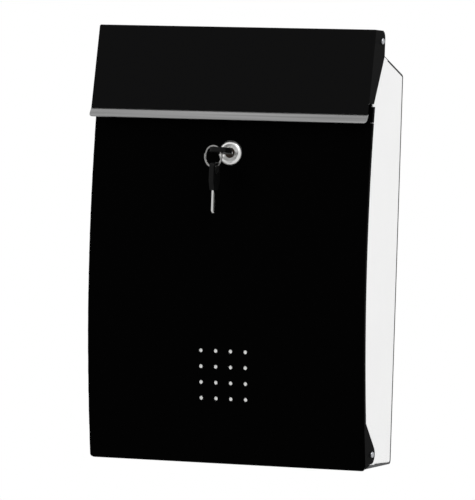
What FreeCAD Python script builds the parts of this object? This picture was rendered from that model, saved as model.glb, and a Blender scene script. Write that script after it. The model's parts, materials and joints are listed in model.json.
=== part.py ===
"""Wall mounted post box: a folded steel case with a bowed drop-down door, a letter flap and a cam lock.

Millimetres, +Z up, the wall lies in the plane Y = 0 and the front looks along -Y. The origin is the
centre of the four wall holes on the wall face, at half the height.
"""

import FreeCAD, Part
import math
import os

from FreeCAD import Rotation, Vector

# Overall
height = 440.0            # lowest edge of the door to the top of the flap
width = 298.7             # over the folded sides of the door and the flap
depth = 99.2              # wall face to the foremost line of the bowed door
bow_radius = 1225.0       # of the door's front, seen from the side

# Sheets
case_sheet = 1.0
cover_sheet = 1.0         # door, flap and front rail
case_bend = 1.0           # inside radius of the folds of the case's flanges and lips
case_corner = 3.0         # inside radius of the folds between the floor, the back and the roof
cover_bend = 0.6          # inside radius of the covers' folds
side_gap = 0.8            # between the case's side and the covers' folded sides
weld_gap = 0.2            # between edges that are welded beside each other

# Case
floor_height = 2.1        # of the floor's front edge over the door's lowest edge
floor_fall = 2.6          # of the floor, from the wall to its front edge
roof_drop = 42.6          # of the roof's rear edge under the flap's top
roof_slope = 17.1         # degrees
roof_lip_ahead = 2.3      # of the roof's upturned front lip, ahead of the pivot tabs
roof_notch = 0.8          # behind the pivot tabs, where the roof narrows to pass between them
lip_gap = 0.6             # between the roof's lip and the flap that rests over it
flange_setback = 12.0     # of the roof flanges' front ends behind the notch, clear of the letter mouth
floor_gap = 0.7           # between the floor's front edge and the corner's round outline
floor_lip = 8.5
side_flange = 12.0
corner_relief = 5.0       # radius of the clearance where two flanges meet
edge_setback = 3.0        # of the side's front edge behind the door's outer face
tab_radius = 8.5          # round the flap's pivot
corner_gap = 1.9          # between the side's round lower corner and the door's inner face
wall_hole = 6.5           # diameter
wall_hole_pitch_x = 220.0
wall_hole_pitch_z = 300.0

# Door
door_drop = 93.0          # of the door's top edge under the flap's top
return_depth = 6.0        # of the covers' folded sides, with the sheet
door_bend = 2.0           # inside radius of the fold along the bottom
door_foot = 3.0           # depth of that fold, short enough to swing under the floor
door_corner = 5.0         # radius of the lower corners, seen from the front
door_pivot_setback = 20.0 # behind the door's outer face
door_pivot_height = 16.2  # over the lowest edge
ear_radius = 9.5          # round the door's pivot
ear_height = 47.8         # over the lowest edge, where the ear leaves the folded side
view_hole = 4.0           # diameter
view_pitch = 16.0
view_count = 4            # holes along each side of the square
view_height = 90.0        # of the square's centre over the lowest edge
view_offset = -1.2        # of the square's centre, to the right of the door's middle
window_margin = 11.0      # of the window round the outer holes
window_sheet = 1.5

# Front rail
rail_gap = 0.4            # between the door's top edge and the rail
rail_drop = 76.8          # of the rail's top under the flap's top
rail_leg_drop = 30.0      # of the leg under the rail's top
rail_tab = 1.0            # thickness of the end tabs that are welded to the sides
cam_gap = 0.6             # between the cam and the leg that it catches behind

# Flap
flap_drop = 85.0          # of the flap's lower edge under its top
flap_ahead = 13.7         # of the flap's lower edge ahead of the rail's face
flap_lean = 15.7          # of the flap's top behind its lower edge
flap_top_reach = 25.3     # of the flap's flat top behind its front edge
flap_pivot_setback = 19.5 # behind the flap's front edge at its top
flap_pivot_drop = 10.8    # under the flap's top
flap_ear_behind = 8.8     # of the ear's rear edge behind the pivot
flap_ear_low = 25.5       # of the ear's rear corner under the flap's top
flap_ear_end = 74.0       # of the ear's lower end under the flap's top
flap_ear_tip = 15.2       # width of the ear's lower end
flap_ear_corner = 8.0
strip_sheet = 1.0
strip_ahead = 4.4         # of the strip's outer edge ahead of the flap's lower edge
strip_drop = 8.4          # of the strip's outer edge under the flap's lower edge
strip_leg = 9.0           # of the strip's leg behind the flap
strip_corner = 3.5        # radius of its outer corners, seen from the front
strip_bend = 0.4

# Pivots
rivet_shank = 4.8         # diameter
rivet_head = 6.2
rivet_head_height = 1.6
rivet_tail_height = 1.2
head_gap = 0.2            # between the rivet's head and the turning ear
washer_diameter = 12.0
washer_sheet = 0.5
pivot_clearance = 0.05    # radial

# Lock
lock_drop = 126.7         # of its centre under the flap's top
lock_offset = 0.8         # of its centre, to the right of the door's middle
bezel_diameter = 25.0
bezel_height = 4.6        # of its round ridge over the door
bezel_rim = 1.6           # height of its outer edge
bezel_ridge = 19.6        # diameter of the ridge
bezel_dish = 2.2          # depth of the dish inside the ridge
bezel_round = 2.8         # radius of its rounded edge and ridge
barrel_diameter = 18.5
barrel_flats = 16.0
barrel_length = 24.0      # behind the door's outer face
lock_hole_clearance = 0.15
nut_across_flats = 24.0
nut_height = 4.0
plug_diameter = 10.6
plug_recess = 2.8         # of its face under the bezel's ridge
plug_clearance = 0.05     # radial
square_tail = 7.0
cam_sheet = 2.5
cam_reach = 35.0
cam_width = 16.0
cam_washer_diameter = 10.0
cam_washer_sheet = 0.8
cam_screw_diameter = 4.0
cam_screw_head = 8.5
cam_screw_head_height = 2.8
cam_screw_length = 7.0
cam_screw_gap = 0.5       # between the screw's end and its hole's
fit_clearance = 0.05      # radial, between parts that are pressed or screwed together

# Keys
blade_width = 6.5
blade_thickness = 2.0
blade_length = 22.5       # out of the bow
blade_tip = 2.2
blade_tang = 8.0          # inside the bow
keyway_clearance = 0.25
keyway_end_gap = 1.0      # between the blade's tip and the keyway's end
notch_width = 1.6
notch_pitch = 3.4
notch_depths = (0.9, 1.5, 0.6, 1.3, 1.0)
bow_width = 18.0
bow_neck = 11.0
bow_length = 28.0
bow_thickness = 5.0
bow_corner = 4.5
bow_edge = 0.8
bow_rim = 2.1             # between the ring's hole and the bow's outer end
bow_gap = 5.9             # between the bezel and the bow of the key in the lock
ring_diameter = 22.7
ring_wire = 1.7
ring_groove = 0.3
ring_drop = 6.6           # of the ring's centre under the hole that it passes
ring_rest_gap = 0.4       # between the ring's wire and the top of the spare key's hole
ring_turn = -17.0         # degrees, of the ring from facing the front
spare_turn = 11.0         # degrees along the ring, from its lowest point to the spare key
ring_play = 0.7           # on both sides of the wire inside the hole that it passes

# Places worked out from the sizes above
base = -height / 2
top = height / 2
half_width = width / 2
half_inside = half_width - cover_sheet       # inner face of the covers' folded sides
half_case = half_inside - side_gap           # outer face of the case's sides
half_web = half_case - case_sheet            # inner face of the case's sides
bow_centre = bow_radius - depth
far = 2 * depth                              # reaches past every face of the case
floor_low = base + floor_height
floor_under = floor_low + floor_fall         # underside of the case at the wall
roof_rise = math.tan(math.radians(roof_slope))
roof_back = top - roof_drop
lip_top = top - cover_sheet - lip_gap
door_high = top - door_drop
rail_high = top - rail_drop
lock_z = top - lock_drop


def bow_y(z, inset=0.0):
    """Y of the door's front at height z, or of the surface that lies inset behind it."""
    return bow_centre - math.sqrt((bow_radius - inset) ** 2 - z ** 2)


door_pivot_z = base + door_pivot_height
door_pivot = (bow_y(door_pivot_z) + door_pivot_setback, door_pivot_z)
flap_low = (bow_y(top - flap_drop) - flap_ahead, top - flap_drop)
flap_top_y = flap_low[0] + flap_lean
flap_pivot = (flap_top_y + flap_pivot_setback, top - flap_pivot_drop)
flap_ear_back = flap_pivot[0] + flap_ear_behind
roof_notch_y = flap_pivot[0] + tab_radius + roof_notch
roof_lip_y = flap_pivot[0] - tab_radius - roof_lip_ahead
flange_front = roof_notch_y + flange_setback
corner_radius = door_pivot_setback - cover_sheet - corner_gap
floor_lip_reach = math.sqrt((corner_radius - floor_gap) ** 2 - (door_pivot_z - floor_low) ** 2)
floor_lip_y = door_pivot[0] - floor_lip_reach
lock_tilt = math.degrees(math.asin(lock_z / bow_radius))
ring_inner = ring_diameter / 2 - ring_wire
wire_near = math.sqrt(ring_inner ** 2 - (ring_drop + bow_thickness / 2) ** 2)
wire_out = math.sqrt((ring_diameter / 2) ** 2 - (ring_drop - bow_thickness / 2) ** 2)
bow_hole = wire_out - wire_near + 2 * ring_play
bow_hole_inset = bow_hole / 2 + bow_rim
lock_place = FreeCAD.Placement(
    Vector(lock_offset, bow_y(lock_z), lock_z), Rotation(Vector(1, 0, 0), 90 - lock_tilt)
)


# Shapes in the plane across the width

def rounded_wire(corners):
    """Closed wire in the plane X = 0 through (y, z, radius) corners."""
    bends = []
    for i, (y, z, radius) in enumerate(corners):
        here = Vector(0, y, z)
        back = Vector(0, *corners[i - 1][:2]) - here
        ahead = Vector(0, *corners[(i + 1) % len(corners)][:2]) - here
        half_angle = back.getAngle(ahead) / 2
        back.normalize()
        ahead.normalize()
        reach = radius / math.tan(half_angle)
        middle = back + ahead
        if radius:
            middle.normalize()
        middle = here + middle * (radius / math.sin(half_angle) - radius)
        bends.append((here + back * reach, middle, here + ahead * reach, radius))
    edges = []
    for i, (start, middle, end, radius) in enumerate(bends):
        if radius:
            edges.append(Part.Arc(start, middle, end).toShape())
        edges.append(Part.makeLine(end, bends[(i + 1) % len(bends)][0]))
    return Part.Wire(edges)


def prism(corners, low, high):
    """Solid of an outline of (y, z, radius) corners, from X = low to X = high."""
    solid = Part.Face(rounded_wire(corners)).extrude(Vector(high - low, 0, 0))
    solid.translate(Vector(low, 0, 0))
    return solid


def cross(a, b):
    return a[0] * b[1] - a[1] * b[0]


def beside(start, end, distance):
    """A point beside start and the unit direction of the line from start to end, moved to its left."""
    length = math.dist(start, end)
    run = ((end[0] - start[0]) / length, (end[1] - start[1]) / length)
    return (start[0] - run[1] * distance, start[1] + run[0] * distance), run


def folded_outline(path, sheet, bends):
    """Outline of a sheet folded along a path of (y, z) points, its thickness on the path's left."""
    sides = [beside(path[i], path[i + 1], sheet) for i in range(len(path) - 1)]
    outer = [(path[0][0], path[0][1], 0.0)]
    inner = [(sides[0][0][0], sides[0][0][1], 0.0)]
    for i, bend in enumerate(bends, 1):
        (before, run), (after, next_run) = sides[i - 1], sides[i]
        step = cross((after[0] - before[0], after[1] - before[1]), next_run) / cross(run, next_run)
        left = cross(run, next_run) > 0
        outer.append((path[i][0], path[i][1], bend + sheet if left else bend))
        inner.append((before[0] + run[0] * step, before[1] + run[1] * step, bend if left else bend + sheet))
    last, run = sides[-1]
    length = math.dist(path[-2], path[-1])
    outer.append((path[-1][0], path[-1][1], 0.0))
    inner.append((last[0] + run[0] * length, last[1] + run[1] * length, 0.0))
    return outer + inner[::-1]


def block(low, high):
    """Box between two corners."""
    return Part.makeBox(*(b - a for a, b in zip(low, high)), Vector(*low))


def pin(place, radius, low, high):
    """Cylinder along X through the point (y, z), from X = low to X = high."""
    return Part.makeCylinder(radius, high - low, Vector(low, *place), Vector(1, 0, 0))


def bow_cylinder(inset, half):
    """The round body whose skin is the door's front, or lies inset behind it."""
    return pin((bow_centre, 0), bow_radius - inset, -half, half)


def mirrored(shape):
    return shape.mirror(Vector(0, 0, 0), Vector(1, 0, 0))


def rounded_edges(shape, radius, chosen):
    """The shape with a fillet on each edge whose middle passes the test."""
    edges = [edge for edge in shape.Edges if chosen(edge.BoundBox.Center, edge.BoundBox)]
    return shape.makeFillet(radius, edges)


# Case

def roof_z(y, under=0.0):
    """Height of the roof's upper face at y, or of the face that lies under it."""
    return roof_back - y * roof_rise - under / math.cos(math.radians(roof_slope))


def floor_z(y):
    """Height at y of the floor's underside, which falls to the front."""
    return floor_under - floor_fall * y / floor_lip_y


def back_panel():
    """One sheet: floor with upturned edges, back, sloping roof with an upturned lip."""
    lipped = [
        (floor_lip_y, floor_low + floor_lip),
        (floor_lip_y, floor_low),
        (0, floor_under),
        (0, roof_back),
        (roof_lip_y, roof_z(roof_lip_y)),
        (roof_lip_y, lip_top),
    ]
    floor_front = floor_lip_y + case_sheet + case_bend
    plain = [
        (floor_front, floor_z(floor_front)),
        (0, floor_under),
        (0, roof_back),
        (roof_notch_y, roof_z(roof_notch_y)),
    ]
    between = half_web - weld_gap
    bends = [case_bend, case_corner, case_corner, case_bend]
    sheet = prism(folded_outline(lipped, case_sheet, bends), -between, between)
    sheet = sheet.fuse(prism(folded_outline(plain, case_sheet, bends[1:3]), -half_case, half_case))
    under_side = prism(
        [
            (floor_front, floor_z(floor_front), 0),
            (floor_front, floor_under + case_sheet, 0),
            (-side_flange, floor_under + case_sheet, 0),
            (-side_flange, floor_z(-side_flange), 0),
        ],
        half_web,
        half_case,
    )
    sheet = sheet.fuse([under_side, mirrored(under_side)])
    for x in (-wall_hole_pitch_x / 2, wall_hole_pitch_x / 2):
        for z in (-wall_hole_pitch_z / 2, wall_hole_pitch_z / 2):
            start = Vector(x, case_sheet, z)
            sheet = sheet.cut(Part.makeCylinder(wall_hole / 2, 3 * case_sheet, start, Vector(0, -1, 0)))
    return sheet.removeSplitter()


def side_tray():
    """The flanged rear of a right-hand side: web, back flange, roof flange and floor flange."""
    outside = case_bend + case_sheet
    low = floor_under + case_sheet
    back = -case_sheet
    outer = prism(
        [
            (back, low, case_corner),
            (back, roof_z(back, case_sheet), case_corner),
            (flange_front, roof_z(flange_front, case_sheet), 0),
            (flange_front, low, 0),
        ],
        half_case - side_flange,
        half_case,
    )
    outer = rounded_edges(
        outer, outside, lambda at, box: box.XMin > half_case - 0.01 and at.y > flange_front + 0.01
    )
    inner = prism(
        [
            (back - case_sheet, low + case_sheet, case_corner - case_sheet),
            (back - case_sheet, roof_z(back - case_sheet, 2 * case_sheet), case_corner - case_sheet),
            (-far, roof_z(-far, 2 * case_sheet), 0),
            (-far, low + case_sheet, 0),
        ],
        half_case - 2 * side_flange,
        half_web,
    )
    inner = rounded_edges(
        inner, case_bend, lambda at, box: box.XMin > half_web - 0.01 and at.y > -far + 0.01
    )
    tray = outer.cut(inner)
    for z in (low, roof_z(back, case_sheet)):
        tray = tray.cut(pin((back, z), corner_relief, 0, half_web - case_bend))
    return tray


def side_plate():
    """The flat front of a right-hand side, with its pivot tab and rounded lower corner."""
    y, z = flap_pivot
    rear = flange_front + case_sheet
    plate = prism(
        [
            (rear, floor_under + case_sheet, 0),
            (rear, roof_z(rear, case_sheet), 0),
            (y + tab_radius, roof_z(y + tab_radius, case_sheet), 0),
            (y + tab_radius, z, 0),
            (y - tab_radius, z, 0),
            (bow_y(roof_z(y), edge_setback), roof_z(roof_lip_y), 0),
            (-far, roof_z(roof_lip_y), 0),
            (-far, floor_under + case_sheet, 0),
        ],
        half_web,
        half_case,
    )
    plate = plate.fuse(pin(flap_pivot, tab_radius, half_web, half_case))
    plate = plate.common(bow_cylinder(edge_setback, half_width))
    corner = prism(
        [
            (door_pivot[0], door_pivot[1], 0),
            (-far, door_pivot[1], 0),
            (-far, base - far, 0),
            (door_pivot[0], base - far, 0),
        ],
        half_web - 1,
        half_case + 1,
    )
    return plate.cut(corner.cut(pin(door_pivot, corner_radius, half_web - 2, half_case + 2)))


def side_panel():
    """Right-hand side of the case."""
    panel = side_tray().fuse(side_plate())
    for place in (door_pivot, flap_pivot):
        panel = panel.cut(pin(place, rivet_shank / 2 + pivot_clearance, 0, half_width))
    return panel.removeSplitter()


# Covers

def bowed_block(inset, half, low, high, bend, side_bend):
    """Block with the door's bowed front, its front edges at the bottom and the sides rounded."""
    body = block((-half, -far, low), (half, 0, high)).common(bow_cylinder(inset, 2 * half))
    if bend:
        body = rounded_edges(
            body, bend, lambda at, box: at.z < low + 0.01 and at.y < -depth / 2 and box.XLength > half
        )
    return rounded_edges(
        body,
        side_bend,
        lambda at, box: box.XLength < 0.01 and box.ZLength > (high - low) / 2 and at.y < -depth / 2,
    )


def door_ear():
    """Right-hand hinge ear, reaching past the door's front so that the bow trims it."""
    y, z = door_pivot
    side_y = bow_y(base + ear_height, return_depth)
    wedge = prism(
        [
            (side_y, base + ear_height, 0),
            (y + ear_radius * math.cos(math.pi / 4), z + ear_radius * math.sin(math.pi / 4), 0),
            (y, z, 0),
            (y - ear_radius * math.sin(math.pi / 12), z - ear_radius * math.cos(math.pi / 12), 0),
            (bow_y(base), base, 0),
            (-far, base, 0),
            (-far, base + ear_height, 0),
        ],
        half_inside,
        half_width,
    )
    return wedge.fuse(pin(door_pivot, ear_radius, half_inside, half_width))


def door_panel():
    """Bowed sheet with folded sides, hinge ears, a fold along the bottom, lock hole and view holes."""
    outer = bowed_block(0, half_width, base, door_high, door_bend + cover_sheet, cover_bend + cover_sheet)
    inner_low = base + cover_sheet
    inner = bowed_block(cover_sheet, half_inside, inner_low, door_high + far, door_bend, cover_bend)
    front = outer.cut(bow_cylinder(return_depth, width))
    ear = door_ear().common(outer)
    panel = front.fuse([ear, mirrored(ear)]).cut(inner)
    corners = Part.makeBox(width, far, height, Vector(-half_width, -far, base))
    corners = rounded_edges(
        corners, door_corner, lambda at, box: at.z < base + 0.01 and box.YLength > depth
    )
    behind_foot = block((-half_inside, -far, base), (half_inside, 0, base + 2 * cover_sheet))
    panel = panel.common(corners).cut(behind_foot.common(bow_cylinder(door_foot, width)))
    panel = panel.cut(lock_barrel(lock_hole_clearance))
    panel = panel.cut(pin(door_pivot, rivet_shank / 2 + pivot_clearance, -width, width))
    return panel.cut(Part.makeCompound(view_holes())).removeSplitter()


def view_holes():
    """The square of small round holes, drilled from the front."""
    holes = []
    first = -(view_count - 1) / 2
    for column in range(view_count):
        for row in range(view_count):
            x = view_offset + (first + column) * view_pitch
            z = base + view_height + (first + row) * view_pitch
            start = Vector(x, -depth - view_hole, z)
            holes.append(Part.makeCylinder(view_hole / 2, depth / 2, start, Vector(0, 1, 0)))
    return holes


def view_window():
    """Opal plate bonded behind the view holes, bowed like the door."""
    half = (view_count - 1) / 2 * view_pitch + window_margin
    middle = base + view_height
    plate = block((view_offset - half, -far, middle - half), (view_offset + half, 0, middle + half))
    plate = plate.common(bow_cylinder(cover_sheet, width))
    return plate.cut(bow_cylinder(cover_sheet + window_sheet, width))


def cam_plane_y(z, gap):
    """Y at height z of the plane that lies gap in front of the cam's front face."""
    tilt = math.radians(lock_tilt)
    behind = barrel_length + fit_clearance - gap
    return bow_y(lock_z) + behind * math.cos(tilt) + (z - lock_z + behind * math.sin(tilt)) * math.tan(tilt)


def front_rail():
    """Fixed rail under the letter mouth: bowed face, folded ends, sill, and a leg for the cam."""
    low = door_high + rail_gap
    high = rail_high
    outer = bowed_block(0, half_width, low, high, 0, cover_bend + cover_sheet)
    outer = outer.cut(bow_cylinder(return_depth, width))
    inner = bowed_block(cover_sheet, half_inside, low - far, high - cover_sheet, 0, cover_bend)
    face = outer.cut(inner)
    foot = high - rail_leg_drop
    path = [
        (cam_plane_y(foot, cam_gap), foot),
        (cam_plane_y(high, cam_gap), high),
        (bow_y(high, edge_setback), high),
    ]
    between = half_web - weld_gap
    sill = prism(folded_outline(path, cover_sheet, [cover_bend]), -between, between)
    tab = prism(
        [
            (bow_y(low, edge_setback + 2), low, 0),
            (bow_y(low, edge_setback + 2), high - cover_sheet / 2, 0),
            (cam_plane_y(high, cam_gap + cover_sheet / 2), high - cover_sheet / 2, 0),
            (cam_plane_y(low, cam_gap + cover_sheet / 2), low, 0),
        ],
        half_web - rail_tab,
        half_web,
    )
    slot = block(
        (between, bow_y(high, edge_setback) - weld_gap, low), (half_inside, 0, high)
    )
    face = face.cut([slot, mirrored(slot)])
    return face.fuse([sill, tab, mirrored(tab)]).removeSplitter()


def flap_slope(distance):
    """The (y, z) point on the flap's outer face at a distance up from its lower edge."""
    point, run = beside(flap_low, (flap_top_y, top), 0)
    return point[0] + run[0] * distance, point[1] + run[1] * distance


def flap_block(inset, half, rear, low):
    """Block under the flap's sloping front and flat top, its folded edges rounded."""
    (y_low, z_low), run = beside(flap_low, (flap_top_y, top), -inset)
    high = top - inset
    y_high = y_low + run[0] / run[1] * (high - z_low)
    y_base = y_low + run[0] / run[1] * (low - z_low)
    body = prism([(y_base, low, 0), (y_high, high, 0), (rear, high, 0), (rear, low, 0)], -half, half)

    def folded(at, box):
        front_top = box.XLength > half and at.z > high - 0.01 and at.y < y_high + 0.01
        front_side = box.XLength < 0.01 and at.y < y_high and box.ZLength > 1
        top_side = box.XLength < 0.01 and at.z > high - 0.01
        return front_top or front_side or top_side

    bend = cover_bend if inset else cover_bend + cover_sheet
    return rounded_edges(body, bend, folded)


def flap_ear():
    """Outline of the right-hand ear: deep round the pivot, tapering down the flap's side."""
    end = top - flap_ear_end
    end_y = flap_slope(end - flap_low[1])[0] + flap_ear_tip
    return prism(
        [
            (flap_ear_back, top, flap_ear_corner),
            (flap_ear_back, top - flap_ear_low, flap_ear_corner),
            (end_y, end, 0),
            (-far, end, 0),
            (-far, top, 0),
        ],
        half_inside,
        half_width,
    )


def flap_panel():
    """Folded flap: sloping front, flat top and two ears."""
    low = flap_low[1]
    shell = flap_block(0, half_width, flap_ear_back, low).cut(
        flap_block(cover_sheet, half_inside, far, low - far)
    )
    keep = block((-half_inside, -far, low), (half_inside, flap_top_y + flap_top_reach, top))
    keep = keep.fuse([flap_ear(), mirrored(flap_ear())])
    front = block((-width, -far, low), (width, 0, top)).cut(flap_block_behind(cover_sheet))
    panel = shell.common(keep.fuse(front))
    return panel.cut(pin(flap_pivot, rivet_shank / 2 + pivot_clearance, -width, width)).removeSplitter()


def flap_block_behind(inset):
    """Everything behind the flap's sloping sheet, to trim its sides flush below the ears."""
    (y_low, z_low), run = beside(flap_low, (flap_top_y, top), -inset)
    y_high = y_low + run[0] / run[1] * (top + 1 - z_low)
    return prism(
        [
            (y_low - far * run[0], z_low - far * run[1], 0),
            (y_high, top + 1, 0),
            (far, top + 1, 0),
            (far, z_low - far * run[1], 0),
        ],
        -2 * width,
        2 * width,
    )


def flap_strip():
    """Aluminium lip: a leg bonded behind the flap's lower edge, and the lip that the fingers lift."""
    low_inner, run = beside(flap_low, (flap_top_y, top), -cover_sheet)
    start = (low_inner[0] + run[0] * strip_leg, low_inner[1] + run[1] * strip_leg)
    tip = (flap_low[0] - strip_ahead, flap_low[1] - strip_drop)
    path = [start, low_inner, tip]
    strip = prism(folded_outline(path, strip_sheet, [strip_bend]), -half_width, half_width)
    beyond_leg = block((half_inside - cover_bend, -far, flap_low[1]), (width, 0, top))
    strip = strip.cut([beyond_leg, mirrored(beyond_leg)])
    low = tip[1] - strip_sheet / 2
    front = block((-half_width, -far, low), (half_width, 0, top))
    front = rounded_edges(front, strip_corner, lambda at, box: at.z < low + 0.01 and box.YLength > depth)
    return strip.common(front)


# Pivots

def rivet(place):
    """Right-hand pivot rivet: shank, domed head outside the ear, flat tail inside the case."""
    head_at = half_width + head_gap
    shank = pin(place, rivet_shank / 2, half_web - rivet_tail_height / 2, head_at + rivet_head_height / 2)
    tail = pin(place, rivet_head / 2, half_web - rivet_tail_height, half_web)
    head = pin(place, rivet_head / 2, head_at, head_at + rivet_head_height)
    face = head_at + rivet_head_height
    head = rounded_edges(head, rivet_head_height * 0.8, lambda at, box: at.x > face - 0.01)
    return shank.fuse([tail, head]).removeSplitter()


def washer(place):
    """Right-hand washer between the case's side and the ear."""
    ring = pin(place, washer_diameter / 2, half_case, half_case + washer_sheet)
    return ring.cut(pin(place, rivet_shank / 2 + pivot_clearance, half_web, half_width))


# Lock, drawn about its own axis: z out of the door, x to the right, then put in its place

def rod(radius, low, high):
    return Part.makeCylinder(radius, high - low, Vector(0, 0, low))


def in_lock(shape):
    placed = shape.copy()
    placed.Placement = lock_place
    return placed


def barrel_shape(clearance):
    """The lock's barrel with its two flats."""
    flat = barrel_flats / 2 + clearance
    side = barrel_diameter
    barrel = rod(barrel_diameter / 2 + clearance, -barrel_length, 0)
    return barrel.common(block((-side, -flat, -barrel_length), (side, flat, 0)))


def lock_barrel(clearance):
    """The barrel's clearance through the door, in place."""
    hole = barrel_shape(clearance)
    hole.translate(Vector(0, 0, barrel_length / 2))
    return in_lock(hole)


def lock_body():
    """Chromed bezel and barrel in one casting."""
    rim = bezel_diameter / 2
    dish = bezel_height - bezel_dish
    outline = Part.makePolygon([
        Vector(0, 0, 0),
        Vector(rim, 0, 0),
        Vector(rim, 0, bezel_rim),
        Vector(bezel_ridge / 2, 0, bezel_height),
        Vector(plug_diameter / 2, 0, dish),
        Vector(0, 0, dish),
        Vector(0, 0, 0),
    ])
    bezel = Part.Face(outline).revolve(Vector(0, 0, 0), Vector(0, 0, 1), 360)
    bezel = rounded_edges(
        bezel, bezel_round, lambda at, box: at.z > bezel_rim / 2 and box.XLength > bezel_ridge - 0.01
    )
    body = bezel.fuse(barrel_shape(0))
    body = body.cut(rod(plug_diameter / 2 + plug_clearance, -barrel_length - 1, bezel_height + 1))
    return in_lock(body.removeSplitter())


def lock_nut():
    """Hexagon nut behind the door."""
    corner = nut_across_flats / math.sqrt(3)
    angles = [i * math.pi / 3 for i in range(7)]
    points = [Vector(corner * math.cos(angle), corner * math.sin(angle), 0) for angle in angles]
    nut = Part.Face(Part.makePolygon(points)).extrude(Vector(0, 0, nut_height))
    nut.translate(Vector(0, 0, -nut_height - nut_seat()))
    return in_lock(nut.cut(rod(barrel_diameter / 2 + fit_clearance, -barrel_length, 0)))


def nut_seat():
    """Distance from the door's outer face to the nut, which spans the bowed inner face."""
    return cover_sheet + nut_across_flats ** 2 / 6 / bow_radius


def keyway(clearance):
    """Slot for the key's blade."""
    half = blade_width / 2 + clearance
    thick = blade_thickness / 2 + clearance
    return block((-half, -thick, blade_end() - keyway_end_gap), (half, thick, bezel_height + 1))


def blade_end():
    """Where the tip of the key in the lock lies, along the lock's axis."""
    return bezel_height + bow_gap - blade_length


def lock_plug():
    """Turning plug with its keyway, square tail and screw hole."""
    plug = rod(plug_diameter / 2, -barrel_length, bezel_height - plug_recess)
    half = square_tail / 2
    tail = block((-half, -half, -barrel_length - cam_sheet), (half, half, -barrel_length + 1))
    plug = plug.fuse(tail).cut(keyway(keyway_clearance))
    hole = rod(cam_screw_diameter / 2 + fit_clearance, -barrel_length - far, screw_end() + cam_screw_gap)
    return in_lock(plug.cut(hole).removeSplitter())


def screw_end():
    """Where the cam screw ends inside the plug, short of the keyway."""
    return cam_face() + cam_screw_length


def cam_face():
    """Rear face of the cam's washer, along the lock's axis."""
    return -barrel_length - fit_clearance - cam_sheet - cam_washer_sheet


def lock_cam():
    """Flat cam on the square tail, pointing to the right when unlocked."""
    back = -barrel_length - fit_clearance - cam_sheet
    arm = block((0, -cam_width / 2, back), (cam_reach - cam_width / 2, cam_width / 2, back + cam_sheet))
    ends = [rod(cam_width / 2, back, back + cam_sheet), rod(cam_width / 2, back, back + cam_sheet)]
    ends[1].translate(Vector(cam_reach - cam_width / 2, 0, 0))
    half = square_tail / 2 + fit_clearance
    hole = block((-half, -half, back - 1), (half, half, back + cam_sheet + 1))
    return in_lock(arm.fuse(ends).cut(hole).removeSplitter())


def cam_washer():
    front = cam_face() + cam_washer_sheet
    ring = rod(cam_washer_diameter / 2, cam_face(), front)
    return in_lock(ring.cut(rod(cam_screw_diameter / 2 + fit_clearance, cam_face() - 1, front + 1)))


def cam_screw():
    """Pan head screw with a slot."""
    under = cam_face()
    end = under - cam_screw_head_height
    head = rod(cam_screw_head / 2, end, under)
    head = rounded_edges(head, cam_screw_head_height / 2, lambda at, box: at.z < end + 0.01)
    slot = block(
        (-cam_screw_head, -0.5, end - 1),
        (cam_screw_head, 0.5, under - cam_screw_head_height / 2),
    )
    return in_lock(head.cut(slot).fuse(rod(cam_screw_diameter / 2, under, screw_end())).removeSplitter())


# Keys, drawn with the bow's shoulder at z = 0, the blade below it and the bow above

def blade():
    """Flat blade with a pointed tip, a groove along each face and a row of cuts."""
    half = blade_width / 2
    outline = Part.makePolygon([
        Vector(-half, 0, blade_tang),
        Vector(half, 0, blade_tang),
        Vector(half, 0, -blade_length + blade_tip),
        Vector(half - blade_tip, 0, -blade_length),
        Vector(-half + blade_tip, 0, -blade_length),
        Vector(-half, 0, -blade_length + blade_tip),
        Vector(-half, 0, blade_tang),
    ])
    body = Part.Face(outline).extrude(Vector(0, blade_thickness, 0))
    body.translate(Vector(0, -blade_thickness / 2, 0))
    for i, deep in enumerate(notch_depths):
        z = -blade_length + blade_tip + (i + 0.7) * notch_pitch
        notch = Part.Face(Part.makePolygon([
            Vector(half + 1, -blade_thickness, z - notch_width / 2 - deep - 1),
            Vector(half - deep, -blade_thickness, z - notch_width / 2),
            Vector(half - deep, -blade_thickness, z + notch_width / 2),
            Vector(half + 1, -blade_thickness, z + notch_width / 2 + deep + 1),
            Vector(half + 1, -blade_thickness, z - notch_width / 2 - deep - 1),
        ])).extrude(Vector(0, 2 * blade_thickness, 0))
        body = body.cut(notch)
    groove = blade_thickness / 4
    for side in (-1, 1):
        y = side * blade_thickness / 2
        body = body.cut(block((-1.4 - groove, y - groove, -blade_length - 1), (-0.4, y + groove, -2)))
    return body.removeSplitter()


def bow():
    """Moulded grip round the blade's tang, with the hole for the ring."""
    half = bow_width / 2
    neck = bow_neck / 2
    corners = [
        (-neck, 0, 1),
        (neck, 0, 1),
        (half, bow_length * 0.3, bow_corner * 0.5),
        (half, bow_length, bow_corner),
        (-half, bow_length, bow_corner),
        (-half, bow_length * 0.3, bow_corner * 0.5),
    ]
    grip = prism(corners, -bow_thickness / 2, bow_thickness / 2)
    grip.rotate(Vector(0, 0, 0), Vector(0, 0, 1), -90)
    hole_z = bow_length - bow_hole_inset
    start = Vector(0, -bow_thickness, hole_z)
    hole = Part.makeCylinder(bow_hole / 2, 2 * bow_thickness, start, Vector(0, 1, 0))
    grip = rounded_edges(grip.cut(hole), bow_edge, lambda at, box: box.YLength < 0.01)
    tang = block(
        (-blade_width / 2, -blade_thickness / 2, -1), (blade_width / 2, blade_thickness / 2, blade_tang)
    )
    return grip.cut(tang)


def in_keyway(shape):
    """A piece of the key that is pushed home in the lock."""
    placed = shape.copy()
    placed.translate(Vector(0, 0, bezel_height + bow_gap))
    return in_lock(Part.makeCompound([placed]))


def hole_place():
    """Middle of the hole in the bow of the key in the lock."""
    return lock_place.multVec(Vector(0, 0, bezel_height + bow_gap + bow_length - bow_hole_inset))


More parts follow.
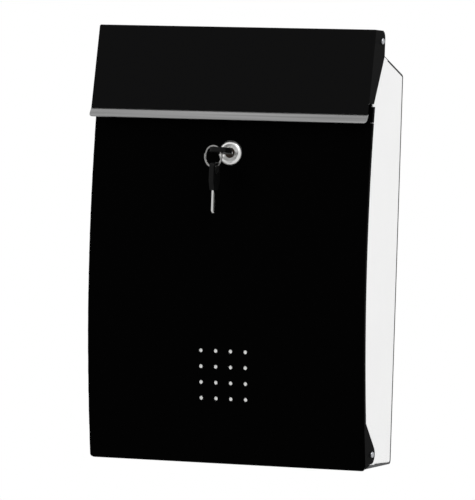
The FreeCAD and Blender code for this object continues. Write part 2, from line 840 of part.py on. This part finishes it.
def ring_side():
    """Level direction in the plane of the split ring, to the right."""
    return Rotation(Vector(0, 0, 1), ring_turn).multVec(Vector(1, 0, 0))


def ring_place():
    """Centre of the split ring, whose wire passes that hole."""
    return hole_place() - ring_side() * ((wire_near + wire_out) / 2) - Vector(0, 0, ring_drop)


def spare_place():
    """Where the ring's wire carries the spare key: on the wire's middle line."""
    turn = math.radians(spare_turn)
    reach = (ring_diameter - ring_wire) / 2
    return ring_place() + ring_side() * (reach * math.sin(turn)) - Vector(0, 0, reach * math.cos(turn))


def key_ring():
    """Split ring of two flat turns, seen as a groove round its middle."""
    half = ring_wire / 2
    outer = ring_diameter / 2
    body = Part.makeCylinder(outer, ring_wire, Vector(0, -half, 0), Vector(0, 1, 0))
    body = body.cut(Part.makeCylinder(ring_inner, 2 * ring_wire, Vector(0, -ring_wire, 0), Vector(0, 1, 0)))
    body = body.makeFillet(ring_wire * 0.3, [e for e in body.Edges if e.BoundBox.YLength < 0.01])
    groove = Part.makeTorus(outer, ring_groove, Vector(0, 0, 0), Vector(0, 1, 0))
    body = body.cut(groove)
    body.rotate(Vector(0, 0, 0), Vector(0, 0, 1), ring_turn)
    body.translate(ring_place())
    return body


def on_ring(shape):
    """A piece of the spare key, which hangs on edge from the lower part of the ring."""
    aside = (spare_place() - ring_place()).dot(ring_side())
    along = aside + bow_thickness / 2 / math.cos(math.radians(ring_turn))
    wire_top = ring_place().z - math.sqrt(ring_inner ** 2 - along ** 2)
    bow_end = wire_top + ring_rest_gap + bow_hole_inset - bow_hole / 2
    placed = shape.copy()
    placed.rotate(Vector(0, 0, 0), Vector(0, 0, 1), 90)
    placed.translate(Vector(spare_place().x, spare_place().y, bow_end - bow_length))
    return placed


def build():
    """Every node's name and solid."""
    side = side_panel()
    nodes = {
        "back_panel": back_panel(),
        "side_panel_right": side,
        "side_panel_left": mirrored(side),
        "front_rail": front_rail(),
        "door_panel": door_panel(),
        "view_window": view_window(),
        "flap_panel": flap_panel(),
        "flap_strip": flap_strip(),
        "lock_body": lock_body(),
        "lock_nut": lock_nut(),
        "lock_plug": lock_plug(),
        "lock_cam": lock_cam(),
        "cam_washer": cam_washer(),
        "cam_screw": cam_screw(),
        "key_blade": in_keyway(blade()),
        "key_bow": in_keyway(bow()),
        "key_ring": key_ring(),
        "spare_key_blade": on_ring(blade()),
        "spare_key_bow": on_ring(bow()),
    }
    for cover, place in (("door", door_pivot), ("flap", flap_pivot)):
        nodes[cover + "_rivet_right"] = rivet(place)
        nodes[cover + "_rivet_left"] = mirrored(rivet(place))
        nodes[cover + "_washer_right"] = washer(place)
        nodes[cover + "_washer_left"] = mirrored(washer(place))
    return nodes


os.makedirs("parts", exist_ok=True)
for name, shape in build().items():
    shape.exportStep("parts/" + name + ".step")
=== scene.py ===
"""Wall mounted post box: the finishes of its coated sheets, metals and plastics, and the studio round it."""

import json
import math

import bmesh
import bpy
from mathutils import Matrix, Vector


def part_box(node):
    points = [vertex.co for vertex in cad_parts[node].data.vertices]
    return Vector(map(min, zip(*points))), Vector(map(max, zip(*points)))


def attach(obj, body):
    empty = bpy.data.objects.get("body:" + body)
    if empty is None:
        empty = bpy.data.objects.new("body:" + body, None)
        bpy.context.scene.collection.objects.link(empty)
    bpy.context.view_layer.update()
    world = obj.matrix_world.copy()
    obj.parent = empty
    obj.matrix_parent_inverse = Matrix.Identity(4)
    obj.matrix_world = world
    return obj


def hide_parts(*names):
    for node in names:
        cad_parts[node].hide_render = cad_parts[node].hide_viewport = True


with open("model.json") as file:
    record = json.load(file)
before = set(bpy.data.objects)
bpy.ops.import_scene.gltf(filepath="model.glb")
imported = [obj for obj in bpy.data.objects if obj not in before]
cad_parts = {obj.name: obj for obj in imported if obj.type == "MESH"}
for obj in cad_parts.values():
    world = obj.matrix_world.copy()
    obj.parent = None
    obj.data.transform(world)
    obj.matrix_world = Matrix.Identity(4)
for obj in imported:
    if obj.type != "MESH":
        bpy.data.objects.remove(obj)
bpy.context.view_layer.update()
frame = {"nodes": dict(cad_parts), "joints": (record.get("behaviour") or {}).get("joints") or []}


# Back, floor and roof
# One sheet of mild steel, folded on a brake to floor, back, sloping roof and two upturned lips.
# Its dark grey coat is painted shade: its cut edges draw a thin dark line of shade behind, over and under
# the white sides.

class Wire:
    """An output socket on its way through a node tree: arithmetic on it adds Math nodes."""

    def __init__(self, tree, socket=None):
        self.tree = tree
        self.socket = socket

    def add(self, kind, settings=(), sockets=(), output=0):
        """A new node: its settings are made first, then the values or wires of its sockets."""
        node = self.tree.nodes.new(kind)
        for name, value in dict(settings).items():
            setattr(node, name, value)
        for name, value in dict(sockets).items():
            if isinstance(value, Wire):
                self.tree.links.new(value.socket, node.inputs[name])
            else:
                node.inputs[name].default_value = value
        return Wire(self.tree, node.outputs[output])

    def out(self, name):
        """Another output of the same node."""
        return Wire(self.tree, self.socket.node.outputs[name])

    def math(self, operation, *values):
        return self.add("ShaderNodeMath", {"operation": operation}, dict(enumerate(values)))

    def __add__(self, other):
        return self.math("ADD", self, other)

    def __radd__(self, other):
        return self.math("ADD", other, self)

    def __mul__(self, other):
        return self.math("MULTIPLY", self, other)

    def __rmul__(self, other):
        return self.math("MULTIPLY", other, self)


class Finish:
    """A material with one Principled shader, whose patterns read the places on the piece."""

    def __init__(self, name, metallic=0.0, specular=0.5):
        self.material = bpy.data.materials.new(name)
        self.material.use_nodes = True
        self.tree = self.material.node_tree
        self.shader = self.tree.nodes["Principled BSDF"]
        self.set("Metallic", metallic)
        self.set("Specular IOR Level", specular)
        self.place = Wire(self.tree).add("ShaderNodeTexCoord", output="Object")

    def set(self, socket, value):
        """Gives a socket of the shader one value, or a wire of values that change over the piece."""
        if isinstance(value, Wire):
            self.tree.links.new(value.socket, self.shader.inputs[socket])
        else:
            self.shader.inputs[socket].default_value = value

    def noise(self, per_metre, detail=2.0):
        """Noise from 0 to 1 with this many features to the metre: one number, or one for each axis."""
        place, scale = self.place, per_metre
        if isinstance(per_metre, tuple):
            place = place.add("ShaderNodeVectorMath", {"operation": "MULTIPLY"}, {0: place, 1: per_metre})
            scale = 1.0
        return place.add("ShaderNodeTexNoise", {}, {"Vector": place, "Scale": scale, "Detail": detail})

    def blend(self, amount, low, high):
        """A colour between two, by an amount from 0 to 1."""
        colours = {0: amount, 6: (*low, 1), 7: (*high, 1)}
        return self.place.add("ShaderNodeMix", {"data_type": "RGBA"}, colours, output=2)

    def relief(self, height, metres):
        """Bumps the surface by a height from 0 to 1, as deep as this many metres."""
        bump = self.place.add("ShaderNodeBump", {}, {"Height": height, "Distance": metres, "Strength": 1.0})
        self.set("Normal", bump)


def powder_coat(name, colour, roughness, specular):
    """Baked powder coat: orange peel about two millimetres across, a fine grain and slow drifts of gloss."""
    coat = Finish(name, specular=specular)
    peel_share = 0.8
    orange_peel = coat.noise(per_metre=520, detail=1.0)
    grain = coat.noise(per_metre=2600)
    coat.relief(orange_peel * peel_share + grain * (1 - peel_share), metres=0.00002)
    gloss_drift = 0.1
    coat.set("Roughness", roughness - gloss_drift / 2 + coat.noise(per_metre=9) * gloss_drift)
    thin_shade = 0.94
    thin = tuple(value * thin_shade for value in colour)
    coat.set("Base Color", coat.blend(coat.noise(per_metre=14, detail=3.0), thin, colour))
    return coat.material


def finished(material, *names):
    """Gives CAD pieces their finish."""
    for name in names:
        slots = frame["nodes"][name].data.materials
        slots.clear()
        slots.append(material)


# Dark grey as painted shade, for the shaded seam lines along the sides' back, roof and floor edges.
painted_seam_shade_coat = powder_coat("painted_seam_shade_coat", (0.055, 0.056, 0.058), roughness=0.5, specular=0.15)
finished(painted_seam_shade_coat, "back_panel")


# Sides
# Two flat cheeks of 1 mm steel with flanges turned in at the back, the roof and the floor, spot welded
# to the folded sheet. White semi-gloss powder coat.

white_coat = powder_coat("white_coat", (0.87, 0.87, 0.868), roughness=0.42, specular=0.3)
finished(white_coat, "side_panel_left", "side_panel_right")


# Front rail
# A narrow folded rail, fixed between the sides under the letter mouth: its face carries on the door's bow,
# and the lock's cam catches behind its leg. Black satin powder coat, as on the door.

door_coat = powder_coat("door_coat", (0.0004, 0.0004, 0.0004), roughness=0.4, specular=0.006)
finished(door_coat, "front_rail")


# Door
# One bowed sheet with folded sides and bottom and two hinge ears; it drops forward on two low rivets.
# Sixteen small holes, low on the door, show whether there is post.

finished(door_coat, "door_panel")


# Window
# Opal acrylic, bowed like the door and bonded behind the small holes, which it keeps dry.

opal = Finish("opal_acrylic")
opal.set("Roughness", 0.3)
opal.set("Base Color", opal.blend(opal.noise(per_metre=60), (0.76, 0.76, 0.75), (0.83, 0.83, 0.82)))
finished(opal.material, "view_window")


# Lock
# A cam lock: chromed zinc housing with a rounded bezel, held through the door by a hexagon nut.
# The brass plug turns inside it and carries the zinc plated cam on its square tail.

def polished(name, colour, roughness):
    """Plated metal: fine scratches every way, and a film that dulls it in patches."""
    metal = Finish(name, metallic=1.0)
    along = metal.noise(per_metre=(300, 4000, 4000), detail=3.0)
    across = metal.noise(per_metre=(4000, 300, 4000), detail=3.0)
    metal.relief(along * 0.5 + across * 0.5, metres=0.000004)
    film = metal.noise(per_metre=160, detail=3.0)
    cleanest, filmed = roughness * 0.7, roughness * 0.8
    metal.set("Roughness", cleanest + film * filmed)
    dull_shade = 0.86
    dull = tuple(value * dull_shade for value in colour)
    metal.set("Base Color", metal.blend(film, dull, colour))
    return metal.material


chrome = polished("bright_chrome", (0.72, 0.72, 0.71), roughness=0.3)
# The plug's near-black colour is painted shade of its deep recess in the bezel, not the colour of brass.
plug_painted_shade = polished("plug_painted_shade", (0.035, 0.027, 0.022), roughness=0.45)
zinc_plate = polished("zinc_plate", (0.42, 0.43, 0.45), roughness=0.3)
finished(chrome, "lock_body")
finished(zinc_plate, "lock_nut", "lock_cam", "cam_washer", "cam_screw")
finished(plug_painted_shade, "lock_plug")


# Keys
# Nickel plated flat blades, each moulded into a black plastic bow. One is in the lock, and the other
# hangs from it on a split ring of flat spring wire.

nickel = polished("key_nickel", (0.56, 0.56, 0.55), roughness=0.2)
finished(nickel, "key_blade", "spare_key_blade")

grip = Finish("key_grip", specular=0.08)
grip.set("Base Color", (0.003, 0.003, 0.003, 1))
grip.set("Roughness", 0.26 + grip.noise(per_metre=300) * 0.14)
grip.relief(grip.noise(per_metre=3500), metres=0.00001)
finished(grip.material, "key_bow", "spare_key_bow")


# Split ring
# Flat spring steel wire, nickel plated, wound in two turns that lie on each other. It crosses from one turn
# to the other at the upper left, between its two cut ends. It hangs in the hole of the key in the lock.

class Recipe:
    """A Geometry Nodes tree with named sizes, and the piece that it makes."""

    def __init__(self, name, **sizes):
        self.name = name
        self.tree = bpy.data.node_groups.new(name, "GeometryNodeTree")
        new_socket = self.tree.interface.new_socket
        new_socket("Geometry", in_out="INPUT", socket_type="NodeSocketGeometry")
        new_socket("Geometry", in_out="OUTPUT", socket_type="NodeSocketGeometry")
        self.values = {}
        for size, value in sizes.items():
            item = new_socket(size, in_out="INPUT", socket_type="NodeSocketFloat")
            self.values[item.identifier] = value
        self.start = Wire(self.tree).add("NodeGroupInput")

    def size(self, name):
        return self.start.out(name)

    def grow(self, shape, material):
        """Ends the tree with this shape, and makes its mesh a piece with this finish."""
        whole = shape.add("GeometryNodeRealizeInstances", {}, {"Geometry": shape})
        dressed = whole.add("GeometryNodeSetMaterial", {}, {"Geometry": whole, "Material": material})
        end = self.tree.nodes.new("NodeGroupOutput")
        self.tree.links.new(dressed.socket, end.inputs["Geometry"])
        piece = bpy.data.objects.new(self.name, bpy.data.meshes.new(self.name))
        bpy.context.scene.collection.objects.link(piece)
        growth = piece.modifiers.new(self.name, "NODES")
        growth.node_group = self.tree
        for socket, value in self.values.items():
            growth[socket] = value
        graph = bpy.context.evaluated_depsgraph_get()
        grown = bpy.data.meshes.new_from_object(piece.evaluated_get(graph), depsgraph=graph)
        piece.modifiers.clear()
        piece.data = grown
        outward = bmesh.new()
        outward.from_mesh(grown)
        bmesh.ops.recalc_face_normals(outward, faces=outward.faces)
        outward.to_mesh(grown)
        outward.free()
        return piece


ring_low, ring_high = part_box("key_ring")
ring_outer = (ring_high.z - ring_low.z) / 2
ring_swing = next(joint for joint in frame["joints"] if joint["name"] == "ring_swing")
ring_facing = math.atan2(-ring_swing["axis"][1], -ring_swing["axis"][0])
wire_across = 0.0017
wire_thick = 0.00083
wire_edge = 0.0003
turn_gap = 0.00002
crossing = math.radians(40)
wire_start = math.radians(165)
ring_sweep = 4 * math.pi - crossing
ring_stations = 260
edge_stations = 4

ring = Recipe(
    "split_ring_wire",
    radius=ring_outer - wire_across / 2,
    across=wire_across,
    thick=wire_thick,
    edge=wire_edge,
)
line = ring.start.add("GeometryNodeCurvePrimitiveLine")
stations = line.add("GeometryNodeResampleCurve", {}, {"Curve": line, "Count": ring_stations})
along = line.add("GeometryNodeSplineParameter")
angle = along * ring_sweep + wire_start
layer = along.add(
    "ShaderNodeMapRange",
    {"interpolation_type": "SMOOTHSTEP"},
    {
        "Value": along,
        "From Min": (2 * math.pi - crossing) / ring_sweep,
        "From Max": 2 * math.pi / ring_sweep,
        "To Min": -(wire_thick + turn_gap) / 2,
        "To Max": (wire_thick + turn_gap) / 2,
    },
)
place = along.add(
    "ShaderNodeCombineXYZ",
    {},
    {
        "X": angle.math("COSINE", angle) * ring.size("radius"),
        "Y": layer,
        "Z": angle.math("SINE", angle) * ring.size("radius"),
    },
)
coil = place.add("GeometryNodeSetPosition", {}, {"Geometry": stations, "Position": place})
coil = coil.add("GeometryNodeSetCurveNormal", {"mode": "FREE"}, {"Curve": coil, "Normal": (0, 1, 0)})
section = coil.add(
    "GeometryNodeCurvePrimitiveQuadrilateral",
    {},
    {"Width": ring.size("thick"), "Height": ring.size("across")},
)
section = section.add(
    "GeometryNodeFilletCurve",
    {"mode": "POLY"},
    {"Curve": section, "Count": edge_stations, "Radius": ring.size("edge"), "Limit Radius": True},
)
wound = coil.add("GeometryNodeCurveToMesh", {}, {"Curve": coil, "Profile Curve": section, "Fill Caps": True})
hung = wound.add(
    "GeometryNodeTransform",
    {},
    {"Geometry": wound, "Translation": (ring_low + ring_high) / 2, "Rotation": (0, 0, ring_facing)},
)
ring_nickel = polished("ring_nickel", (0.26, 0.257, 0.253), roughness=0.22)
split_ring = ring.grow(hung, ring_nickel)
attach(split_ring, "split_ring")
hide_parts("key_ring")


# Flap
# A folded sheet over the letter mouth: flat top, sloping front and two tapering ears that hang on the two
# high rivets. Its black coat is painted a touch greyer than the door's, as painted light for the
# upward-facing slope.

# Lighter base colour than the door's coat: painted light for the flap's upward slope catching light from
# above.
flap_painted_light_coat = powder_coat("flap_painted_light_coat", (0.0045, 0.0045, 0.0046), roughness=0.45, specular=0.004)
finished(flap_painted_light_coat, "flap_panel")


# Lip strip
# Aluminium sheet, folded once and bonded behind the flap's lower edge, where fingers lift it. It is brushed
# along its length, and the brushing leaves fine lines and broader bands.

brushed = Finish("brushed_aluminium", metallic=1.0)
lines = brushed.noise(per_metre=(12, 2600, 2600), detail=4.0)
bands = brushed.noise(per_metre=(5, 300, 300), detail=1.0)
band_share = 0.75
streaks = lines * (1 - band_share) + bands * band_share
brushed.set("Base Color", brushed.blend(streaks, (0.10, 0.10, 0.10), (0.44, 0.44, 0.44)))
brushed.set("Roughness", 0.3 + lines * 0.25)
brushed.relief(lines, metres=0.00002)
finished(brushed.material, "flap_strip")


# Rivets and washers
# Plated steel pivot rivets with domed heads, and white nylon washers between the ears and the sides.

nylon = Finish("washer_nylon")
nylon.set("Base Color", (0.75, 0.74, 0.70, 1))
nylon.set("Roughness", 0.45 + nylon.noise(per_metre=400) * 0.1)
for cover in ("door", "flap"):
    for side in ("left", "right"):
        finished(zinc_plate, cover + "_rivet_" + side)
        finished(nylon.material, cover + "_washer_" + side)


# Studio
# A white surround, a plain pale floor well below the box, a large soft key lamp and a softer fill.

world = bpy.data.worlds.new("studio")
bpy.context.scene.world = world
world.use_nodes = True
surround = world.node_tree
background = surround.nodes["Background"]
rays = Wire(surround).add("ShaderNodeLightPath", output="Is Camera Ray")
seen = rays.math("MAXIMUM", rays, rays.out("Is Glossy Ray"))
seen = seen.math("MAXIMUM", seen, rays.out("Is Transmission Ray"))
ambient_level = 0.8
strength = seen * (1 - ambient_level) + ambient_level
surround.links.new(strength.socket, background.inputs["Strength"])
background.inputs["Color"].default_value = (1, 1, 1, 1)

floor_drop = 1.2
floor_radius = 3.0
floor_sides = 96
floor_mesh = bpy.data.meshes.new("floor")
shape = bmesh.new()
bmesh.ops.create_circle(shape, cap_ends=True, segments=floor_sides, radius=floor_radius)
bmesh.ops.translate(shape, verts=shape.verts, vec=(0, 0, -floor_drop))
shape.to_mesh(floor_mesh)
shape.free()
floor = bpy.data.objects.new("floor", floor_mesh)
bpy.context.scene.collection.objects.link(floor)
pale = Finish("pale_floor", specular=0.1)
pale.set("Roughness", 0.8)
pale.set("Base Color", pale.blend(pale.noise(per_metre=3), (0.89, 0.89, 0.89), (0.91, 0.91, 0.91)))
floor_mesh.materials.append(pale.material)

camera_aim = Vector((0, -0.0514, 0))


def soft_lamp(name, place, size, watts):
    """A square area lamp that faces the box."""
    lamp = bpy.data.lights.new(name, "AREA")
    lamp.size = size
    lamp.energy = watts
    holder = bpy.data.objects.new(name, lamp)
    bpy.context.scene.collection.objects.link(holder)
    holder.location = place
    holder.rotation_euler = (Vector(place) - camera_aim).to_track_quat("Z", "Y").to_euler()


soft_lamp("key_lamp", place=(1.9, -2.5, 3.3), size=1.6, watts=90)
soft_lamp("fill_lamp", place=(-2.6, -3.0, 1.2), size=2.0, watts=8)


# Camera
# Stands right of the box and a little above its middle, and is tilted by two degrees. Its focal length is
# in pixels of the picture's longer side, and its shifts are metres to the right and up at the box.

camera_turn = math.radians(21.528)
camera_rise = math.radians(0.652)
camera_roll = math.radians(1.859)
camera_distance = 4.9547
shift_right = -0.005520
shift_up = -0.004316
sensor_width = 36.0
picture_pixels = 500
focal_pixels = 4894.5
camera_reach = 100

back = Vector((
    math.sin(camera_turn) * math.cos(camera_rise),
    -math.cos(camera_turn) * math.cos(camera_rise),
    math.sin(camera_rise),
))
right = Vector((math.cos(camera_turn), math.sin(camera_turn), 0))
up = back.cross(right)
lens = bpy.data.cameras.new("camera")
lens.sensor_width = sensor_width
lens.lens = focal_pixels / picture_pixels * sensor_width
lens.clip_end = camera_reach
camera = bpy.data.objects.new("camera", lens)
bpy.context.scene.collection.objects.link(camera)
turned_right = right * math.cos(camera_roll) + up * math.sin(camera_roll)
turned_up = up * math.cos(camera_roll) - right * math.sin(camera_roll)
axes = Matrix((turned_right, turned_up, back)).transposed().to_4x4()
stand = camera_aim + right * shift_right + up * shift_up + back * camera_distance
camera.matrix_world = Matrix.Translation(stand) @ axes
bpy.context.scene.camera = camera

bpy.context.scene.view_settings.view_transform = "Standard"
